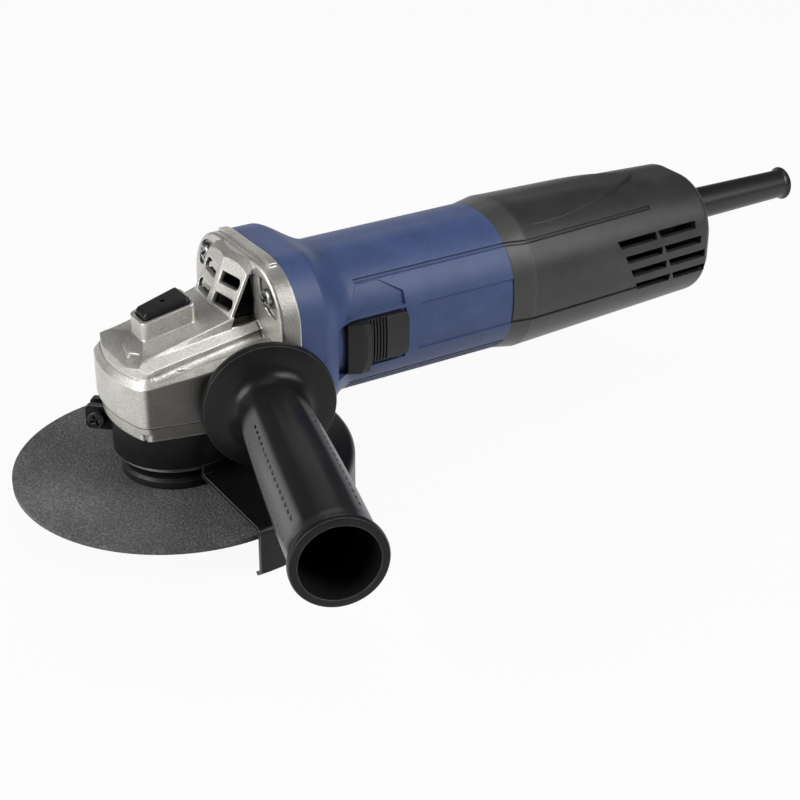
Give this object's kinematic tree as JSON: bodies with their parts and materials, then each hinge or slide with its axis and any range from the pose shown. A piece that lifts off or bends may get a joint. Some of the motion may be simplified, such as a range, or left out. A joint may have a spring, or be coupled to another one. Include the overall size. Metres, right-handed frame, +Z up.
{
  "type": "angle grinder",
  "caption": "Corded angle grinder with a die-cast head, half-round disc guard, side handle, slide switch and a rubber cable sleeve, for cutting and grinding metal or stone.",
  "frame": {"origin": "on the spindle axis, at the outer face of the nut that clamps the disc", "axes": "+Z up the spindle from the disc into the head, +X along the motor towards the cable sleeve, +Y to the user's right"},
  "size_m": [0.3675, 0.2169, 0.0994],
  "materials": {
    "cast_aluminium": "satin die-cast aluminium",
    "bright_steel": "zinc-plated steel",
    "machined_steel": "ground steel",
    "dark_steel": "blackened steel",
    "blue_plastic": "textured blue glass-filled nylon",
    "black_plastic": "textured dark grey glass-filled nylon",
    "grip_plastic": "satin black moulded grip",
    "switch_plastic": "satin black plastic",
    "inner_plastic": "plain moulded plastic",
    "sleeve_rubber": "soft black rubber",
    "seal_rubber": "seal rubber",
    "guard_paint": "semi-gloss black painted sheet steel",
    "abrasive": "bonded abrasive with a glass-fibre mesh",
    "lamination": "stacked electrical steel",
    "copper": "varnished copper",
    "brass": "brass",
    "carbon": "pressed carbon"
  },
  "bodies": {
    "housing": {"gear_housing": "cast_aluminium", "bearing_cover": "cast_aluminium", "gear_housing_screws": "bright_steel", "bearing_cover_screws": "bright_steel", "rear_cover_screws": "bright_steel", "cable_clamp_screws": "bright_steel", "stator_screws": "bright_steel", "handle_stud": "bright_steel", "retaining_ring": "machined_steel", "top_bush": "machined_steel", "lock_spring": "machined_steel", "brush_springs": "machined_steel", "front_bearing_retainer": "machined_steel", "spindle_bearing_outer_race": "machined_steel", "front_bearing_outer_race": "machined_steel", "rear_bearing_outer_race": "machined_steel", "motor_housing": "blue_plastic", "rear_cover_left": "black_plastic", "rear_cover_right": "black_plastic", "side_handle": "grip_plastic", "air_baffle": "inner_plastic", "switch_unit": "inner_plastic", "capacitor": "inner_plastic", "cable_clamp": "inner_plastic", "cable_sleeve": "sleeve_rubber", "dust_seal": "seal_rubber", "rear_bearing_boot": "seal_rubber", "stator_core": "lamination", "stator_coils": "copper", "brush_holders": "brass", "carbon_brushes": "carbon"},
    "spindle": {"spindle": "machined_steel", "spindle_spacer": "machined_steel", "drive_key": "machined_steel", "bevel_wheel": "machined_steel", "spindle_bearing_inner_race": "machined_steel", "spindle_bearing_balls": "machined_steel", "inner_flange": "dark_steel", "cutting_disc": "abrasive", "disc_bore_ring": "machined_steel", "flange_nut": "dark_steel"},
    "armature": {"armature_shaft": "machined_steel", "armature_core": "lamination", "armature_windings": "copper", "commutator": "copper", "cooling_fan": "inner_plastic", "pinion": "machined_steel", "pinion_nut": "machined_steel", "front_bearing_inner_race": "machined_steel", "front_bearing_balls": "machined_steel", "rear_bearing_inner_race": "machined_steel", "rear_bearing_balls": "machined_steel"},
    "guard": {"guard_shroud": "guard_paint", "guard_clamp_band": "guard_paint", "guard_clamp_screw": "dark_steel", "guard_clamp_nut": "dark_steel"},
    "lock": {"lock_button": "switch_plastic", "lock_pin": "machined_steel"},
    "switch": {"switch_slider": "switch_plastic", "switch_rod": "inner_plastic"}
  },
  "joints": [
    {"name": "spindle_spin", "type": "hinge", "parent": "housing", "child": "spindle", "pos_m": [0, 0, 0], "axis": [0, 0, 1], "continuous": true},
    {"name": "armature_spin", "type": "hinge", "parent": "housing", "child": "armature", "pos_m": [0, 0, 0.0554], "axis": [1, 0, 0], "continuous": true},
    {"name": "guard_turn", "type": "hinge", "parent": "housing", "child": "guard", "pos_m": [0, 0, 0.02], "axis": [0, 0, 1], "range_deg": [-90, 90]},
    {"name": "lock_press", "type": "slide", "parent": "housing", "child": "lock", "axis": [0, 0, -1], "range_m": [0, 0.0035], "stiffness_N_per_m": 1500, "springref_m": -0.002, "deforming": ["lock_spring"]},
    {"name": "switch_slide", "type": "slide", "parent": "housing", "child": "switch", "axis": [-1, 0, 0], "range_m": [0, 0.005]}
  ],
  "couplings": [
    {"joint": "armature_spin", "follows": "spindle_spin", "ratio": 3}
  ]
}
